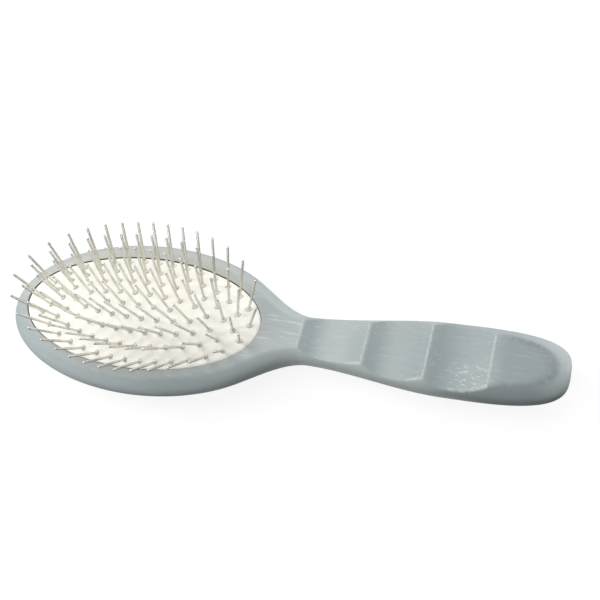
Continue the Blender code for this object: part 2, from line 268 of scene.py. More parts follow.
# Body. One length of close-grained wood, shaped and sanded by hand: an oval head with a flat land
# round the cushion, a neck, and finger scoops cut across the grip. The stain is rubbed in thin, so
# the grain shows, and it has worn pale on the ridges and the scoop edges. Light and shade are also
# painted into the stain: a pale sheen on the far side of the rim, warm light on the land round the
# cushion, shade low on the sides, in the gap round the cushion, past each ridge and towards the
# butt, and light on the sides of the neck and grip, on the first scoops and at the end of the butt.
toe_x = -0.1132
pad_length, pad_width = 0.1041, 0.0486
rim_toe, rim_heel, rim_side = 0.0085, 0.0084, 0.0082
neck_setback, grip_run, butt_run = 0.0186, 0.0526, 0.0426
neck_width, grip_width = 0.0180, 0.0276
flank_start_ratio = 0.66
butt_squareness = 3.3
head_depth, neck_depth, grip_depth = 0.0200, 0.0172, 0.0187
widest_drop, widest_rise, crest_fall = 0.0057, 0.0030, 0.0018
upper_depth_ratio = 0.75
back_flat = 0.0004
shoulder_setback, shoulder_reach, shoulder_drop_ratio = 0.0096, 0.0130, 0.12
first_ridge_setback = 0.0164
scoop_lengths = (0.0254, 0.0232, 0.0226)
scoop_depths = (0.0022, 0.0026, 0.0025)
scoop_skew_ratio = 0.40
thumb_rest_rise = 0.0009
chamber_depth, groove_top = 0.0080, 0.0015
lip_reach, lip_thickness = 0.0014, 0.0016
clearance = 0.0003
land_rounding = 0.0005
ridge_rounding = 0.0002
back_rounding = 0.0006
mouth_rounding = 0.0002
floor_bevel = 0.0010
crease_reach = 0.00045
low_from, low_reach = 0.12, 0.34
least_half_width = 1e-5
body_sides, recess_sides = 128, 192
end_stations = 56
station_step = 0.0009
ridge_stations = (-0.0009, -0.0005, -0.00025, -0.0001, 0.0, 0.0001, 0.00025, 0.0005, 0.0009)
ridge_margin = 0.0011
body_smooth_below = math.radians(38)

pad_x = toe_x + rim_toe + pad_length / 2
head_half_length = (rim_toe + pad_length + rim_heel) / 2
head_half_width = pad_width / 2 + rim_side
head_x = toe_x + head_half_length
flank_x = head_x + flank_start_ratio * head_half_length
heel_x = pad_x + pad_length / 2
neck_x = heel_x + neck_setback
grip_x = neck_x + grip_run
butt_x = grip_x + butt_run
rim_z = head_depth
widest_z = rim_z - widest_drop
ridges = [heel_x + first_ridge_setback]
for scoop_length in scoop_lengths:
    ridges.append(ridges[-1] + scoop_length)


def ease(x, x0, x1, y0, y1, slope0=0.0):
    """Cubic from y0 to y1 that leaves with slope0 and arrives level."""
    run = x1 - x0
    s = (x - x0) / run
    leave = (s ** 3 - 2 * s ** 2 + s) * run * slope0
    return (2 * s ** 3 - 3 * s ** 2 + 1) * y0 + leave + (3 * s ** 2 - 2 * s ** 3) * y1


def head_share(x):
    return math.sqrt(max(0.0, 1 - ((x - head_x) / head_half_length) ** 2))


def butt_share(x):
    s = (x - grip_x) / butt_run
    return max(0.0, 1 - s ** butt_squareness) ** (1 / butt_squareness)


def half_width_at(x):
    if x <= flank_x:
        return head_half_width * head_share(x)
    if x <= neck_x:
        start = head_half_width * head_share(flank_x)
        slope = -(head_half_width ** 2) * (flank_x - head_x) / (head_half_length ** 2 * start)
        return ease(x, flank_x, neck_x, start, neck_width / 2, slope)
    if x <= grip_x:
        return ease(x, neck_x, grip_x, neck_width / 2, grip_width / 2)
    return grip_width / 2 * butt_share(x)


def lower_depth_at(x):
    head = head_depth + back_flat - widest_drop
    neck = neck_depth - widest_drop
    grip = grip_depth - widest_drop
    if x <= head_x:
        return head * head_share(x)
    if x <= neck_x:
        return ease(x, head_x, neck_x, head, neck)
    if x <= grip_x:
        return ease(x, neck_x, grip_x, neck, grip)
    return grip * butt_share(x)


def lower_of(a, b, rounding):
    """The lower of two heights, rounded over where they cross."""
    near = max(0.0, rounding - abs(a - b)) / rounding
    return min(a, b) - near * near * rounding / 4


def upper_share_at(x):
    off = (x - heel_x - shoulder_setback) / shoulder_reach
    return upper_depth_ratio - shoulder_drop_ratio * math.exp(-off ** 2)


def handle_share(x):
    return (max(0.0, x - neck_x) / (butt_x - neck_x)) ** 2


def cut_z(x):
    """Height of the cut face at x: the land, the scoops and then the thumb rest."""
    overlap = 0.002
    heights = []
    if x < ridges[0] + overlap:
        heights.append(rim_z)
    for number, (start, length, depth) in enumerate(zip(ridges, scoop_lengths, scoop_depths)):
        if start - overlap < x < start + length + overlap:
            share = (x - start) / length
            skewed = share * (1 + scoop_skew_ratio * (1 - share))
            rise = thumb_rest_rise * (number + share) / len(scoop_lengths)
            heights.append(rim_z + rise - 4 * depth * skewed * (1 - skewed))
    if x > ridges[-1] - overlap:
        heights.append(rim_z + thumb_rest_rise)
    height = heights[0]
    for other in heights[1:]:
        height = lower_of(height, other, ridge_rounding)
    return height


def body_stations():
    """Places of the sections, closer together at both ends and at the ridges."""
    turns = [math.pi / 2 * i / end_stations for i in range(end_stations + 1)]
    toe_end = [head_x - head_half_length * math.cos(turn) for turn in turns[:-1]]
    butt_end = [grip_x + butt_run * math.sin(turn) ** (2 / butt_squareness) for turn in turns[1:]]
    steps = round((grip_x - head_x) / station_step)
    middle = [head_x + (grip_x - head_x) * i / steps for i in range(steps + 1)]
    places = sorted(toe_end + middle + butt_end)
    for ridge in ridges:
        places = [x for x in places if abs(x - ridge) > ridge_margin]
        places += [ridge + off for off in ridge_stations]
    return sorted(places)


def clamped(share):
    return min(1.0, max(0.0, share))


def body_section(x):
    """Points of one section, each with how far it is on the cut face, by that face's edge, and low."""
    half_width = half_width_at(x)
    middle_z = widest_z + widest_rise * handle_share(x)
    if half_width < least_half_width:
        return [((x, 0.0, middle_z), 0.0, 0.0, 1.0)]
    closed = butt_share(x) if x > grip_x else 1.0
    lower_depth = lower_depth_at(x)
    below = lower_depth + widest_rise * handle_share(x) * closed
    above = lower_depth * upper_share_at(x) - (widest_rise + crest_fall) * handle_share(x) * closed
    top = cut_z(x)
    section = []
    for i in range(body_sides):
        turn = 2 * math.pi * i / body_sides
        y = half_width * math.cos(turn)
        if math.sin(turn) > 0:
            round_z = middle_z + above * math.sin(turn)
            z = lower_of(round_z, top, land_rounding)
            on_cut = clamped(0.5 + (round_z - top) / (2 * crease_reach))
            crease = math.exp(-((round_z - top) / crease_reach) ** 2)
        else:
            z = -lower_of(-middle_z - below * math.sin(turn), 0.0, back_rounding)
            on_cut = 0.0
            crease = 0.0
        under = clamped((low_from - math.sin(turn)) / low_reach)
        section.append(((x, y, z), on_cut, crease, under))
    return section


def skin_sections(mesh_tools, rows):
    """Faces between rows of vertices that close round; a row of one vertex closes an end."""
    for row, following in zip(rows, rows[1:]):
        count = max(len(row), len(following))
        for i in range(count):
            j = (i + 1) % count
            corners = [row[i % len(row)], row[j % len(row)],
                       following[j % len(following)], following[i % len(following)]]
            mesh_tools.faces.new(list(dict.fromkeys(corners)))


def oval(half_length, half_width, sides, z):
    """Points of one oval round the middle of the cushion."""
    turns = [2 * math.pi * i / sides for i in range(sides)]
    return [(pad_x + half_length * math.cos(turn), half_width * math.sin(turn), z)
            for turn in turns]


def closed_mesh(name, mesh_tools):
    bmesh.ops.recalc_face_normals(mesh_tools, faces=mesh_tools.faces)
    mesh = bpy.data.meshes.new(name)
    mesh_tools.to_mesh(mesh)
    mesh_tools.free()
    return mesh


def plain_mesh(thing):
    """The mesh of an object with its modifiers worked in. The object itself is removed."""
    mesh = bpy.data.meshes.new_from_object(
        thing.evaluated_get(bpy.context.evaluated_depsgraph_get()))
    bpy.data.objects.remove(thing)
    mesh.shade_smooth()
    return mesh


def finish_surface(nodes, sockets):
    """The end of a material that has one plain shader, with what its sockets are given."""
    finish_material(nodes, nodes.add("ShaderNodeBsdfPrincipled", {}, sockets))


body_tools = bmesh.new()
on_cut_layer = body_tools.verts.layers.float.new("cut_face")
crease_layer = body_tools.verts.layers.float.new("crease")
under_layer = body_tools.verts.layers.float.new("under")
body_rows = []
for station in body_stations():
    row = []
    for point, on_cut, crease, under in body_section(station):
        vertex = body_tools.verts.new(point)
        vertex[on_cut_layer] = on_cut
        vertex[crease_layer] = crease
        vertex[under_layer] = under
        row.append(vertex)
    body_rows.append(row)
skin_sections(body_tools, body_rows)
body_mesh = closed_mesh("body_blank", body_tools)

groove_floor = groove_top + lip_thickness + 2 * clearance
groove_reach = lip_reach + clearance
mouth_steps = 5
recess_profile = [(mouth_rounding, -head_depth)]
for i in range(1, mouth_steps + 1):
    turn = math.pi / 2 * i / mouth_steps
    recess_profile.append((mouth_rounding * (1 - math.sin(turn)), mouth_rounding * (1 - math.cos(turn))))
recess_profile += [(0.0, groove_top), (groove_reach, groove_top), (groove_reach, groove_floor),
                   (0.0, groove_floor), (0.0, chamber_depth - floor_bevel), (-floor_bevel, chamber_depth)]
recess_tools = bmesh.new()
recess_rows = []
for reach, drop in recess_profile:
    ring = oval(pad_length / 2 + reach, pad_width / 2 + reach, recess_sides, rim_z - drop)
    recess_rows.append([recess_tools.verts.new(point) for point in ring])
skin_sections(recess_tools, recess_rows)
for end in (recess_rows[0], recess_rows[-1]):
    recess_tools.faces.new(end)
recess = bpy.data.objects.new("recess", closed_mesh("recess", recess_tools))
bpy.context.scene.collection.objects.link(recess)

wood, wood_nodes = new_material("stained_wood")
blank = new_object("blank", body_mesh, wood)
cut_recess = blank.modifiers.new("recess", "BOOLEAN")
cut_recess.operation = "DIFFERENCE"
cut_recess.object = recess
cut_recess.solver = "EXACT"
wooden_mesh = plain_mesh(blank)
wooden_mesh.set_sharp_from_angle(angle=body_smooth_below)
bpy.data.objects.remove(recess)
wooden_body = new_object("wooden_body", wooden_mesh, wood)

# Colours of the wood. The deep, shadow and crevice colours are painted shade, the rim colour is a painted
# sheen and the warm one painted warm light. The dark, pale and worn stains are the wood's own colours,
# and they also serve for painted shade and painted light.
painted_deep_shade = (0.240, 0.281, 0.288)
dark_stain_and_shade = (0.290, 0.338, 0.345)
even_stain = (0.339, 0.388, 0.395)
pale_stain_and_light = (0.386, 0.433, 0.436)
worn_and_lit_stain = (0.540, 0.575, 0.568)
painted_warm_bounce = (0.375, 0.375, 0.338)
painted_rim_sheen = (0.600, 0.590, 0.530)
painted_shadow = (0.185, 0.218, 0.226)
painted_crevice_shade = (0.030, 0.030, 0.026)
place, along, across, height = wood_nodes.where()
# under is how low a point lies on the side. It carries painted shadow low on the head and painted light
# low on the neck and grip.
on_cut, crease, under = [wood_nodes.stored(name) for name in ("cut_face", "crease", "under")]
off_cut = 1.0 - on_cut

# The grain runs along the brush, so the patterns that follow it are drawn out that way.
broad_figure = wood_nodes.mottle(place, (14, 110, 110), detail=2.0, distortion=0.6)
grain = wood_nodes.mottle(place, (120, 850, 850), detail=5.0, roughness=0.6, distortion=0.3)
fibre = wood_nodes.mottle(place, (300, 3600, 3600), detail=2.0)
pores = wood_nodes.mottle(place, (330, 4200, 4200), detail=1.0).rise(0.64, 0.72)
streaks = wood_nodes.mottle(place, (75, 900, 900), detail=3.0, distortion=0.4)
flecks = wood_nodes.mottle(place, (380, 1500, 1500), detail=3.0, roughness=0.6, distortion=0.6)
dashes = wood_nodes.mottle(place, (110, 1700, 1700), detail=2.0).rise(0.665, 0.73)
breaks = wood_nodes.mottle(place, (500, 500, 500), detail=4.0, roughness=0.7)
figure = broad_figure * 0.35 + grain * 0.40 + fibre * 0.25

# Parts of the handle, each as a mask that fades at its ends.
first_ridge, second_ridge, third_ridge, rest_edge = ridges
crest = 0.0004
shade_past_ridges, scoop_ends, scoop_rise_shade = 0.0, 0.0, 0.0
# Painted shade just past each ridge, where the scoop falls away from the light.
for start, end in zip(ridges, ridges[1:]):
    shade_past_ridges = shade_past_ridges + along.between(start, start + 0.0012, start + 0.003, start + 0.011)
    scoop_ends = scoop_ends + along.between(start + (end - start) * 0.25, end - 0.003,
                                            end - crest, end + crest)
# Painted shade on the near part of the rise before the second and third ridges.
for end in (second_ridge, third_ridge):
    scoop_rise_shade = scoop_rise_shade + along.between(end - 0.010, end - 0.003, end - crest, end + crest)
scoop_rise_shade = scoop_rise_shade * across.rise(0.011, 0.001)
# Painted light on the first two scoops, and painted shade past the third ridge and over the thumb rest,
# so that the handle darkens towards the butt; the thumb rest's edge gets a painted shadow.
lit_scoops = along.between(first_ridge, first_ridge + 0.006, second_ridge, third_ridge - 0.004)
shade_past_third_ridge = along.between(third_ridge, third_ridge + 0.002, third_ridge + 0.006, third_ridge + 0.015)
last_scoop = along.between(third_ridge + 0.006, third_ridge + 0.011, rest_edge - 0.001, rest_edge + 0.003)
thumb_rest = along.rise(rest_edge - 0.001, rest_edge + 0.006)
shoulder = along.between(heel_x - 0.020, heel_x + 0.006, first_ridge - 0.001, first_ridge + 0.001)
# Along the middle of the handle the painted shadow low on the sides gives way to painted light. The sides
# of the neck and grip get painted light, and low on the near side of the grip lies painted shade.
handle_middle = along.between(heel_x - 0.034, heel_x - 0.002, grip_x, grip_x + 0.020)
lit_grip_side = along.between(heel_x - 0.030, neck_x - 0.006, grip_x - 0.020, grip_x + 0.010) * off_cut
low_grip_shade = along.between(third_ridge - 0.004, third_ridge + 0.014, grip_x + 0.030, butt_x - 0.002)
low_grip_shade = low_grip_shade * across.rise(-0.003, -0.010) * off_cut
# Painted highlight on the far side of the end of the butt.
butt_end = along.rise(grip_x + 0.026, butt_x - 0.003) * off_cut * across.rise(-0.008, 0.004)

# Parts of the head. The gap round the cushion is darkened with painted shade, most of all on the far side
# and at the toe.
oval_share = ((along - pad_x) / (pad_length / 2)) ** 2 + (across / (pad_width / 2)) ** 2
# Painted warm light, as bounced from the cream cushion onto the land round it.
warm_land = oval_share.rise(1.55, 1.05) * on_cut * (0.30 + 0.70 * along.rise(heel_x - 0.010, pad_x))
# Painted shade on the near side, just below the edge of the land.
near_side_shade = height.rise(rim_z - 0.0085, rim_z - 0.0030) * across.rise(0.002, -0.006) * off_cut
near_side_shade = near_side_shade * along.rise(toe_x + 0.010, toe_x + 0.050)
# Painted sheen, paler, on the far side of the rim, fading out towards the heel.
rim_height = height + along.rise(toe_x + 0.022, toe_x + 0.002) * 0.0035
far_rim_sheen = along.rise(heel_x + 0.002, heel_x - 0.014) * across.rise(-0.012, 0.010)
far_rim_sheen = far_rim_sheen * rim_height.rise(rim_z - 0.0040, rim_z - 0.0010)
chamber_floor = rim_z - chamber_depth
open_side = (across - (along - pad_x) * 0.5).rise(-0.014, 0.004)
crevice = height.rise(rim_z - 0.00008, rim_z - 0.00025) * oval_share.rise(1.024, 1.009)
crevice = crevice * height.rise(chamber_floor - 0.0025, chamber_floor - 0.0010)
crevice = crevice * (0.30 + 0.70 * open_side)

# Wear. The ridges are rubbed down to lines that wander a little and break up, the near side of the
# last scoop is scratched, and dry streaks and dashes follow the grain.
line_wander = 0.0016
line_widths = (0.00042, 0.00042, 0.00048, 0.00070)
wandering = along + (flecks - 0.5) * line_wander
ridge_wear = 0.0
for ridge, width in zip(ridges, line_widths):
    ridge_wear = ridge_wear + abs(wandering - (ridge - width * 0.5)).rise(width, 0.0)
ridge_wear = ridge_wear * on_cut * (0.40 + 0.60 * breaks.rise(0.38, 0.56))
edge_wear = crease * scoop_ends * across.rise(0.002, -0.004) * breaks.rise(0.34, 0.50) * 1.2
edge_wear = edge_wear + crease * breaks.rise(0.45, 0.70) * 0.30
scratched = last_scoop * across.rise(0.001, -0.006) * on_cut * flecks.rise(0.55, 0.63)
dry_streaks = streaks.rise(0.55, 0.66) * (0.12 + 0.95 * shoulder) * on_cut
worn = (ridge_wear * 0.85).larger(edge_wear * 0.85).larger(scratched * 0.95)
worn = worn.larger(dry_streaks * 0.90).larger(dashes * on_cut * (0.60 - 0.50 * thumb_rest))

# The grain, the pores, the pale wear on the shoulder and the wear marks are the wood's own colour; every
# other wash below paints light or shade into the stain.
stain = wood_nodes.washed(dark_stain_and_shade, (
    (even_stain, figure.rise(0.32, 0.52)),
    (pale_stain_and_light, figure.rise(0.50, 0.70)),
    (painted_warm_bounce, warm_land * 0.60),
    (dark_stain_and_shade, pores * 0.40),
    (painted_deep_shade, shade_past_ridges * on_cut * 0.50),
    (painted_shadow, under * (0.78 - 0.78 * handle_middle)),
    (painted_deep_shade, near_side_shade * (0.40 - 0.30 * handle_middle)),
    (painted_rim_sheen, far_rim_sheen * 0.50),
    (worn_and_lit_stain, lit_scoops * (1.0 - shade_past_ridges) * on_cut * 0.30),
    (dark_stain_and_shade, scoop_rise_shade * on_cut * 0.55),
    (painted_deep_shade, shade_past_third_ridge * on_cut * 0.35),
    (dark_stain_and_shade, thumb_rest * on_cut * 0.90),
    (painted_deep_shade, thumb_rest * on_cut * 0.38),
    (painted_shadow, thumb_rest * crease * 0.90),
    (painted_shadow, low_grip_shade * 0.65),
    (pale_stain_and_light, lit_grip_side * 0.90),
    (worn_and_lit_stain, lit_grip_side * 0.20),
    (worn_and_lit_stain, handle_middle * under * 0.88),
    (worn_and_lit_stain, shoulder * on_cut * 0.28),
    (worn_and_lit_stain, butt_end * 0.30),
    (worn_and_lit_stain, worn),
    (painted_crevice_shade, crevice),
))
wood_relief = grain * 0.4 + fibre * 0.35 - pores * 0.5 + worn * 0.2
finish_surface(wood_nodes, {
    "Base Color": stain, "Roughness": 0.42 + figure * 0.12 + worn * 0.12, "Specular IOR Level": 0.25,
    "Normal": wood_nodes.bumped(wood_relief, strength=0.30, depth=0.00010)})
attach(wooden_body, "handle")
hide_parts("brush_body")


# Cushion. A skin of cream rubber, moulded with a crown, whose edge rolls down into the mouth of
# the recess; under its edge a lip snaps into the groove of the head. Air behind it makes it spring.
# It has settled a little towards the heel and the near side, where the gap round it is finer.
half_length, half_width = pad_length / 2 - clearance, pad_width / 2 - clearance
crown = 0.0059
skin = 0.0016
settled = 0.00016
lip_bevel = 0.0004
lip_sides = 144


def group_tree(name, inputs, makes):
    """A Geometry Nodes tree with named inputs, whose geometry comes from makes(nodes, inputs)."""
    tree = bpy.data.node_groups.new(name, "GeometryNodeTree")
    nodes = Nodes(tree)
    tree.interface.new_socket("Geometry", in_out="INPUT", socket_type="NodeSocketGeometry")
    tree.interface.new_socket("Geometry", in_out="OUTPUT", socket_type="NodeSocketGeometry")
    for label, value in inputs.items():
        kind = {int: "NodeSocketInt", float: "NodeSocketFloat"}.get(type(value), "NodeSocketMaterial")
        tree.interface.new_socket(label, in_out="INPUT", socket_type=kind)
    group = nodes.add("NodeGroupInput")
    given = {label: group.out(label) for label in ("Geometry", *inputs)}
    made = nodes.add("GeometryNodeRealizeInstances", {}, {"Geometry": makes(nodes, given)})
    finished = nodes.add("GeometryNodeSetMaterial", {}, {
        "Geometry": made, "Material": given["Material"]})
    nodes.add("NodeGroupOutput", {}, {"Geometry": finished})
    return tree


def grown(name, mesh, tree, inputs, more=None):
    """The plain mesh that a tree makes of another, with a wall added by more where that is given."""
    source = bpy.data.objects.new(name, mesh)
    bpy.context.scene.collection.objects.link(source)
    modifier = source.modifiers.new(name, "NODES")
    modifier.node_group = tree
    for socket in tree.interface.items_tree:
        if socket.item_type == "SOCKET" and socket.in_out == "INPUT" and socket.name in inputs:
            modifier[socket.identifier] = inputs[socket.name]
    if more:
        wall = source.modifiers.new("wall", "SOLIDIFY")
        wall.thickness = more
        wall.offset = -1.0
        wall.use_even_offset = True
    return plain_mesh(source)


def crowned_skin(nodes, given):
    """A grid wrapped round into a crowned oval whose edge rolls over and runs down as a short wall."""
    wall_from = 0.92
    crowding = 1.7
    roll_from = 0.970
    grid = nodes.add("GeometryNodeMeshGrid", {}, {
        "Size X": 1.0, "Size Y": 1.0, "Vertices X": given["Sides"], "Vertices Y": given["Rings"]})
    laid = nodes.add("ShaderNodeSeparateXYZ", {}, {0: grid.out("UV Map")})
    turn = laid.out("X") * (2 * math.pi)
    run = laid.out("Y")
    top = run.maths("MINIMUM", run / wall_from, 1.0)
    share = 1.0 - (1.0 - top) ** crowding
    beyond = ((run - wall_from) / (1.0 - wall_from)).larger(0.0)
    rolled = ((share - roll_from) / (1.0 - roll_from)).larger(0.0)
    level = (1.0 - rolled * rolled).larger(0.0)
    roll = given["Edge roll"] * (1.0 - level.function("SQRT"))
    x = given["Half length"] * share * turn.function("COSINE")
    y = given["Half width"] * share * turn.function("SINE")
    fall = (x / given["Crown half length"]) ** 2 + (y / given["Crown half width"]) ** 2
    height = given["Rim height"] + given["Crown"] * (1.0 - fall) - roll - beyond * given["Wall depth"]
    point = nodes.add("ShaderNodeCombineXYZ", {}, {"X": given["Middle"] + x, "Y": y, "Z": height})
    wrapped = nodes.add("GeometryNodeSetPosition", {}, {"Geometry": grid.out("Mesh"), "Position": point})
    merged = nodes.add("GeometryNodeMergeByDistance", {}, {"Geometry": wrapped, "Distance": 0.00001})
    return nodes.add("GeometryNodeFlipFaces", {}, {"Mesh": merged})


rubber, rubber_nodes = new_material("cream_rubber")
skin_inputs = {"Half length": half_length, "Half width": half_width,
               "Crown half length": half_length, "Crown half width": half_width,
               "Crown": crown, "Rim height": rim_z, "Edge roll": 0.0003, "Wall depth": 0.0012,
               "Middle": pad_x, "Sides": 241, "Rings": 96, "Material": rubber}
skin_tree = group_tree("crowned_skin", skin_inputs, crowned_skin)
skin_mesh = grown("rubber_skin", bpy.data.meshes.new("seed"), skin_tree, skin_inputs, more=skin)
skin_mesh.transform(Matrix.Translation((settled, -settled, 0)))
rubber_skin = new_object("rubber_skin", skin_mesh, rubber)

lip_top = groove_top + clearance
lip_profile = ((-skin, lip_top), (lip_reach - lip_bevel, lip_top), (lip_reach, lip_top + lip_bevel),
               (lip_reach, lip_top + lip_thickness - lip_bevel),
               (lip_reach - lip_bevel, lip_top + lip_thickness), (-skin, lip_top + lip_thickness))
lip_tools = bmesh.new()
lip_rows = []
for reach, drop in lip_profile:
    ring = oval(half_length + reach, half_width + reach, lip_sides, rim_z - drop)
    lip_rows.append([lip_tools.verts.new(point) for point in ring])
skin_sections(lip_tools, lip_rows + lip_rows[:1])
cushion_lip = new_object("cushion_lip", closed_mesh("cushion_lip", lip_tools), rubber)
cushion_lip.data.shade_smooth()
cushion_lip.data.set_sharp_from_angle(angle=math.radians(60))

cream = (0.895, 0.885, 0.815)
warm_cream = (0.875, 0.855, 0.780)
dust_and_shade_cream = (0.640, 0.600, 0.560)
painted_gap_shade = (0.380, 0.350, 0.310)
painted_collar_shade = (0.330, 0.315, 0.285)
place, along, across, height = rubber_nodes.where()
tone = rubber_nodes.stored("tone")
out_share = ((along - pad_x) / half_length) ** 2 + (across / half_width) ** 2
clouding = rubber_nodes.mottle(place, (55, 55, 55), detail=4.0, roughness=0.6)
skin_texture = rubber_nodes.mottle(place, (2600, 2600, 2600), detail=3.0, roughness=0.6)
dust = rubber_nodes.mottle(place, (900, 900, 900), detail=2.0).rise(0.68, 0.76)
# The cushion's edge and the wall that runs down into the gap are darkened with painted shade, and the
# collars get painted shade by their tone; the specks of dust are real.
rubber_colour = rubber_nodes.washed(cream, (
    (warm_cream, clouding.rise(0.35, 0.70)),
    (dust_and_shade_cream, out_share.rise(0.95, 1.00) * 0.25),
    (dust_and_shade_cream, dust * 0.12),
    (painted_gap_shade, height.rise(rim_z - 0.0007, rim_z - 0.0014)),
    (painted_collar_shade, tone * 0.8),
))
rubber_relief = skin_texture * 0.6 + clouding
finish_surface(rubber_nodes, {
    "Base Color": rubber_colour, "Roughness": 0.50 + clouding * 0.15, "Specular IOR Level": 0.35,
    "Normal": rubber_nodes.bumped(rubber_relief, strength=0.25, depth=0.0001)})
for piece in (rubber_skin, cushion_lip):
    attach(piece, "handle")
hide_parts("cushion_pad")
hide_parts("cushion_pad")
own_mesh(rubber_skin)


# Backing cloth. An oval of close cotton cloth lies against the underside of the rubber, and the
# heads of the pins bear on it, so that they can't pull through. It is trapped by the cushion's lip.
cloth_thickness = 0.0008
cloth_inset = 0.0022
threads_a_metre = 1600
thread_shade = (0.60, 0.57, 0.50)
thread_white = (0.76, 0.73, 0.66)

cotton, cotton_nodes = new_material("backing_cloth")
place, along, across, _ = cotton_nodes.where()
thread_turn = 2 * math.pi * threads_a_metre
weft = (along * thread_turn).function("SINE")
warp = (across * thread_turn).function("SINE")
weave = weft * warp * 0.5 + 0.5
lint = cotton_nodes.mottle(place, (700, 700, 700), detail=3.0)
finish_surface(cotton_nodes, {
    "Base Color": cotton_nodes.mix(thread_shade, thread_white, weave * 0.7 + lint * 0.3),
    "Roughness": 0.85 + lint * 0.1, "Normal": cotton_nodes.bumped(weave, strength=0.5, depth=0.0001)})
cloth_inputs = {**skin_inputs, "Half length": half_length - cloth_inset,
                "Half width": half_width - cloth_inset, "Rim height": rim_z - skin - clearance,
                "Edge roll": 0.0, "Wall depth": 0.0001, "Sides": 97, "Rings": 34, "Material": cotton}
cloth_mesh = grown("backing_cloth", bpy.data.meshes.new("seed"), skin_tree, cloth_inputs,
                   more=cloth_thickness)
backing_cloth = new_object("backing_cloth", cloth_mesh, cotton)
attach(backing_cloth, "handle")
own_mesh(backing_cloth)
cloth_flat = (2 * (half_width - cloth_inset), 2 * (half_length - cloth_inset))
math.pi / 4 * cloth_flat[0] * cloth_flat[1]


# Pins. Straight steel wire cut to one length, with a rounded tip and a flat head that is upset
# under the cloth. They stand in four ovals round a centre row and splay with the crown.
pin_length, pin_diameter = 0.0212, 0.0010
pin_head_diameter, pin_head_thickness, pin_head_seat = 0.0021, 0.0005, 0.0002
field_shift = 0.0020
pin_margin_long, pin_margin_wide = 0.0057, 0.0026
centre_row_length = 0.0278
ring_length_curve = 0.55
ring_spread_ratio = 0.06
ring_pins = (32, 28, 24, 18)
ring_phases = (0.0, 0.5, 0.0, 0.0)
centre_row_pins = 5
pin_sides = 10
lean = {"Lean along": 0.50, "Lean across": 0.72, "Lean at heel": 0.37}


def stations_on_path(nodes, given):
    """Points along the given path, each on the crown, with its lean and the slope of the crown there."""
    path = nodes.add("GeometryNodeMeshToCurve", {}, {"Mesh": given["Geometry"]})
    points = nodes.add("GeometryNodePoints", {}, {"Count": given["Pins"]})
    share = given["First share"] + nodes.add("GeometryNodeInputIndex") * given["Share step"]
    wave = share * (4 * math.pi)
    share = share + given["End spread"] * wave.function("SINE") / (4 * math.pi)
    found = nodes.add("GeometryNodeSampleCurve", {"mode": "FACTOR"}, {"Curves": path, "Factor": share})
    at = nodes.add("ShaderNodeSeparateXYZ", {}, {0: found.out("Position")})
    x, y = at.out("X"), at.out("Y")
    height = given["Rim height"] + given["Crown"] * (1.0 - (x / given["Half length"]) ** 2
                                                     - (y / given["Half width"]) ** 2)
    slope_x = given["Crown"] * -2.0 * x / (given["Half length"] * given["Half length"])
    slope_y = given["Crown"] * -2.0 * y / (given["Half width"] * given["Half width"])
    along = (x - given["Field shift"]) / given["Half length"]
    splay = 1.0 + given["Lean at heel"] * along
    lean_x = given["Lean along"] * along * along * along * splay
    lean_y = given["Lean across"] * y / given["Half width"] * splay
    return points, (x, y, height), (lean_x, lean_y), (slope_x, slope_y)


def standing(nodes, points, place, direction, shape):
    """shape stood on every point, turned to its direction."""
    point = nodes.add("ShaderNodeCombineXYZ", {}, dict(zip("XYZ", place)))
    way = nodes.add("ShaderNodeCombineXYZ", {}, dict(zip("XYZ", direction)))
    placed = nodes.add("GeometryNodeSetPosition", {}, {"Geometry": points, "Position": point})
    rotation = nodes.add("FunctionNodeAlignRotationToVector", {"axis": "Z"}, {"Vector": way})
    return nodes.add("GeometryNodeInstanceOnPoints", {}, {
        "Points": placed, "Instance": shape, "Rotation": rotation})


def turned(nodes, profile, sides):
    """A closed turning up the Z axis, from rows of height, radius and tone, which colours it."""
    line = nodes.add("GeometryNodeCurvePrimitiveLine", {}, {"End": (0.0, 0.0, 1.0)})
    line = nodes.add("GeometryNodeResampleCurve", {"mode": "COUNT"}, {
        "Curve": line, "Count": len(profile)})
    index = nodes.add("GeometryNodeInputIndex")
    chosen = []
    for column in zip(*profile):
        switch = nodes.add("GeometryNodeIndexSwitch", {"data_type": "FLOAT"}, {"Index": index})
        while len(switch.node.index_switch_items) < len(profile):
            switch.node.index_switch_items.new()
        for i, value in enumerate(column):
            if isinstance(value, Signal):
                nodes.tree.links.new(value.socket, switch.node.inputs[i + 1])
            else:
                switch.node.inputs[i + 1].default_value = value
        chosen.append(switch)
    heights, radii, tones = chosen
    point = nodes.add("ShaderNodeCombineXYZ", {}, {"Z": heights})
    spine = nodes.add("GeometryNodeSetPosition", {}, {"Geometry": line, "Position": point})
    spine = nodes.add("GeometryNodeStoreNamedAttribute", {"data_type": "FLOAT", "domain": "POINT"},
                      {"Geometry": spine, "Name": "tone", "Value": tones})
    round_section = nodes.add("GeometryNodeCurvePrimitiveCircle", {}, {
        "Resolution": sides, "Radius": 1.0})
    return nodes.add("GeometryNodeCurveToMesh", {}, {
        "Curve": spine, "Profile Curve": round_section, "Scale": radii, "Fill Caps": True})


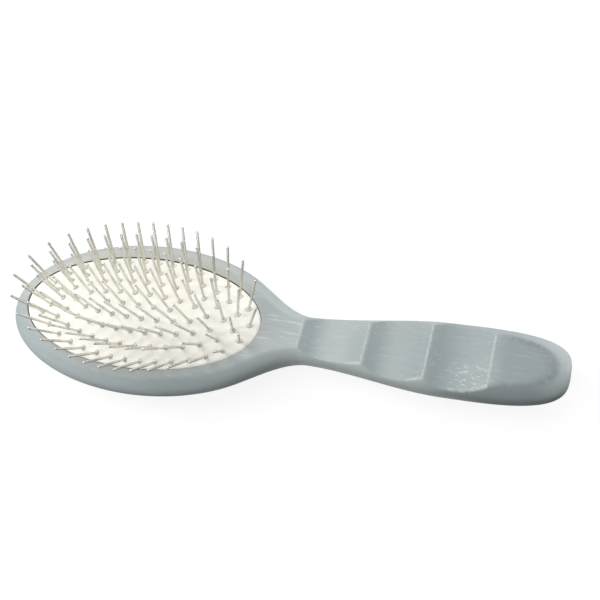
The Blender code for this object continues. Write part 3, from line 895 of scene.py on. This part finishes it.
def pins_on_path(nodes, given):
    points, (x, y, height), (lean_x, lean_y), (slope_x, slope_y) = stations_on_path(nodes, given)
    drop = given["Wall"] / (1.0 - slope_x * lean_x - slope_y * lean_y)
    foot = (x - lean_x * drop + given["Middle"], y - lean_y * drop, height - drop)
    radius = given["Pin diameter"] * 0.5
    head = given["Head diameter"] * 0.5
    length = given["Pin length"]
    thick = given["Head thickness"]
    seat = given["Head seat"]
    flat_head = ((-thick, head * 0.85, 0.5), (thick * -0.7, head, 0.5), (seat * 0.5, head, 0.5))
    shaft = ((seat, radius, 0.5), (length * 0.35, radius, 0.0), (length * 0.955, radius, 0.1))
    round_tip = ((length - radius, radius, 1.0), (length - radius * 0.62, radius * 0.92, 1.0),
                 (length - radius * 0.24, radius * 0.64, 1.0), (length, radius * 0.12, 1.0))
    pin = turned(nodes, flat_head + shaft + round_tip, pin_sides)
    return standing(nodes, points, foot, (lean_x, lean_y, 1.0), pin)


def ring_half_sizes(ring):
    """Half length and half width of one oval of pins, counted from the outside."""
    share = 1 - ring / len(ring_pins)
    row = centre_row_length / 2
    return (row + (half_length - pin_margin_long - row) * share ** ring_length_curve,
            (half_width - pin_margin_wide) * share)


def oval_path(ring):
    """A fine oval of edges, which opens where it begins, at the heel."""
    long_half, wide_half = ring_half_sizes(ring)
    steps = 720
    mesh = bpy.data.meshes.new("oval_path")
    turns = [2 * math.pi * i / steps for i in range(steps + 1)]
    points = [(field_shift + long_half * math.cos(turn), wide_half * math.sin(turn), 0.0)
              for turn in turns]
    mesh.from_pydata(points, [(i, i + 1) for i in range(steps)], [])
    return mesh


def row_path():
    mesh = bpy.data.meshes.new("row_path")
    ends = [(field_shift + side * centre_row_length / 2, 0.0, 0.0) for side in (-1, 1)]
    mesh.from_pydata(ends, [(0, 1)], [])
    return mesh


steel, steel_nodes = new_material("pin_steel")
pin_inputs = {"Pins": 1, "First share": 0.0, "Share step": 0.0, "End spread": 0.0, "Rim height": rim_z,
              "Crown": crown, "Half length": half_length, "Half width": half_width, "Middle": pad_x,
              "Field shift": field_shift, **lean, "Wall": skin + clearance + cloth_thickness,
              "Pin diameter": pin_diameter, "Pin length": pin_length, "Head diameter": pin_head_diameter,
              "Head thickness": pin_head_thickness, "Head seat": pin_head_seat, "Material": steel}
pin_tree = group_tree("pins_on_path", pin_inputs, pins_on_path)
rows = []
for ring, (count, phase) in enumerate(zip(ring_pins, ring_phases)):
    rows.append((f"ring_{ring + 1}", f"pin_ring_{ring + 1}", oval_path(ring), {
        "Pins": count, "First share": phase / count, "Share step": 1 / count,
        "End spread": ring_spread_ratio * (1 - ring / len(ring_pins))}))
rows.append(("centre_row", "pin_centre_row", row_path(), {
    "Pins": centre_row_pins, "First share": 0.0, "Share step": 1 / (centre_row_pins - 1),
    "End spread": 0.0}))
for row_name, body, path, counts in rows:
    pins_mesh = grown(f"{row_name}_pins", path, pin_tree, {**pin_inputs, **counts})
    pins_mesh.set_sharp_from_angle(angle=math.radians(50))
    pins = new_object(f"{row_name}_pins", pins_mesh, steel)
    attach(pins, body)
    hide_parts(*[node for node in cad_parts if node.startswith(f"pins_{row_name}")])

bright_steel = (0.930, 0.935, 0.925)
warm_steel = (0.740, 0.722, 0.660)
grey_steel = (0.590, 0.574, 0.535)
dull_and_shaded_steel = (0.330, 0.320, 0.290)
place, _, _, height = steel_nodes.where()
facing = steel_nodes.add("ShaderNodeTexCoord").out("Normal")
upwards = steel_nodes.add("ShaderNodeSeparateXYZ", {}, {0: facing}).out("Z")
tone = steel_nodes.stored("tone")
drawn = steel_nodes.mottle(place, (5200, 5200, 260), detail=3.0)
tarnish = steel_nodes.mottle(place, (240, 240, 240), detail=3.0)
# The steel is paler towards the tips and darker at the root and the very tip, by the tone of each row;
# faces that look down are darkened with painted shade.
steel_colour = steel_nodes.washed(warm_steel, (
    (grey_steel, tarnish.rise(0.35, 0.75)),
    (bright_steel, height.rise(rim_z + 0.010, rim_z + 0.022) * 0.85),
    (dull_and_shaded_steel, upwards.rise(0.02, -0.42) * 0.75),
    (dull_and_shaded_steel, tone * 0.7),
))
finish_surface(steel_nodes, {
    "Base Color": steel_colour, "Metallic": 1.0, "Roughness": 0.17 + tarnish * 0.12 + drawn * 0.06,
    "Normal": steel_nodes.bumped(drawn, strength=0.15, depth=0.00005)})


# Collars. Where each pin comes through, the rubber is moulded into a small raised collar that
# grips it. They belong to the cushion and go down with it.
collar_radius, collar_height = 0.00120, 0.00055
collar_sides = 14


def collars_on_path(nodes, given):
    points, (x, y, height), _, (slope_x, slope_y) = stations_on_path(nodes, given)
    radius = given["Collar radius"]
    tall = given["Collar height"]
    # The tone of each row is painted shade: darkest where the collar meets the cushion, and a little
    # round the pin.
    skirt = ((tall * -0.6, radius, 0.6), (tall * 0.06, radius, 0.8), (tall * 0.10, radius * 0.92, 1.0))
    neck = ((tall * 0.16, radius * 0.78, 1.0), (tall * 0.40, radius * 0.72, 0.3),
            (tall * 0.80, radius * 0.68, 0.0))
    mouth = ((tall * 0.97, radius * 0.58, 0.0), (tall, radius * 0.46, 0.4))
    base = (x + given["Middle"], y, height)
    collar = turned(nodes, skirt + neck + mouth, collar_sides)
    return standing(nodes, points, base, (-slope_x, -slope_y, 1.0), collar)


collar_inputs = {**pin_inputs, "Collar radius": collar_radius, "Collar height": collar_height,
                 "Material": rubber}
collar_tree = group_tree("collars_on_path", collar_inputs, collars_on_path)
for row_name, body, path, counts in rows:
    collars_mesh = grown(f"{row_name}_collars", path, collar_tree, {**collar_inputs, **counts})
    collars_mesh.set_sharp_from_angle(angle=math.radians(60))
    collars = new_object(f"{row_name}_collars", collars_mesh, rubber)
    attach(collars, "handle")
    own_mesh(collars)
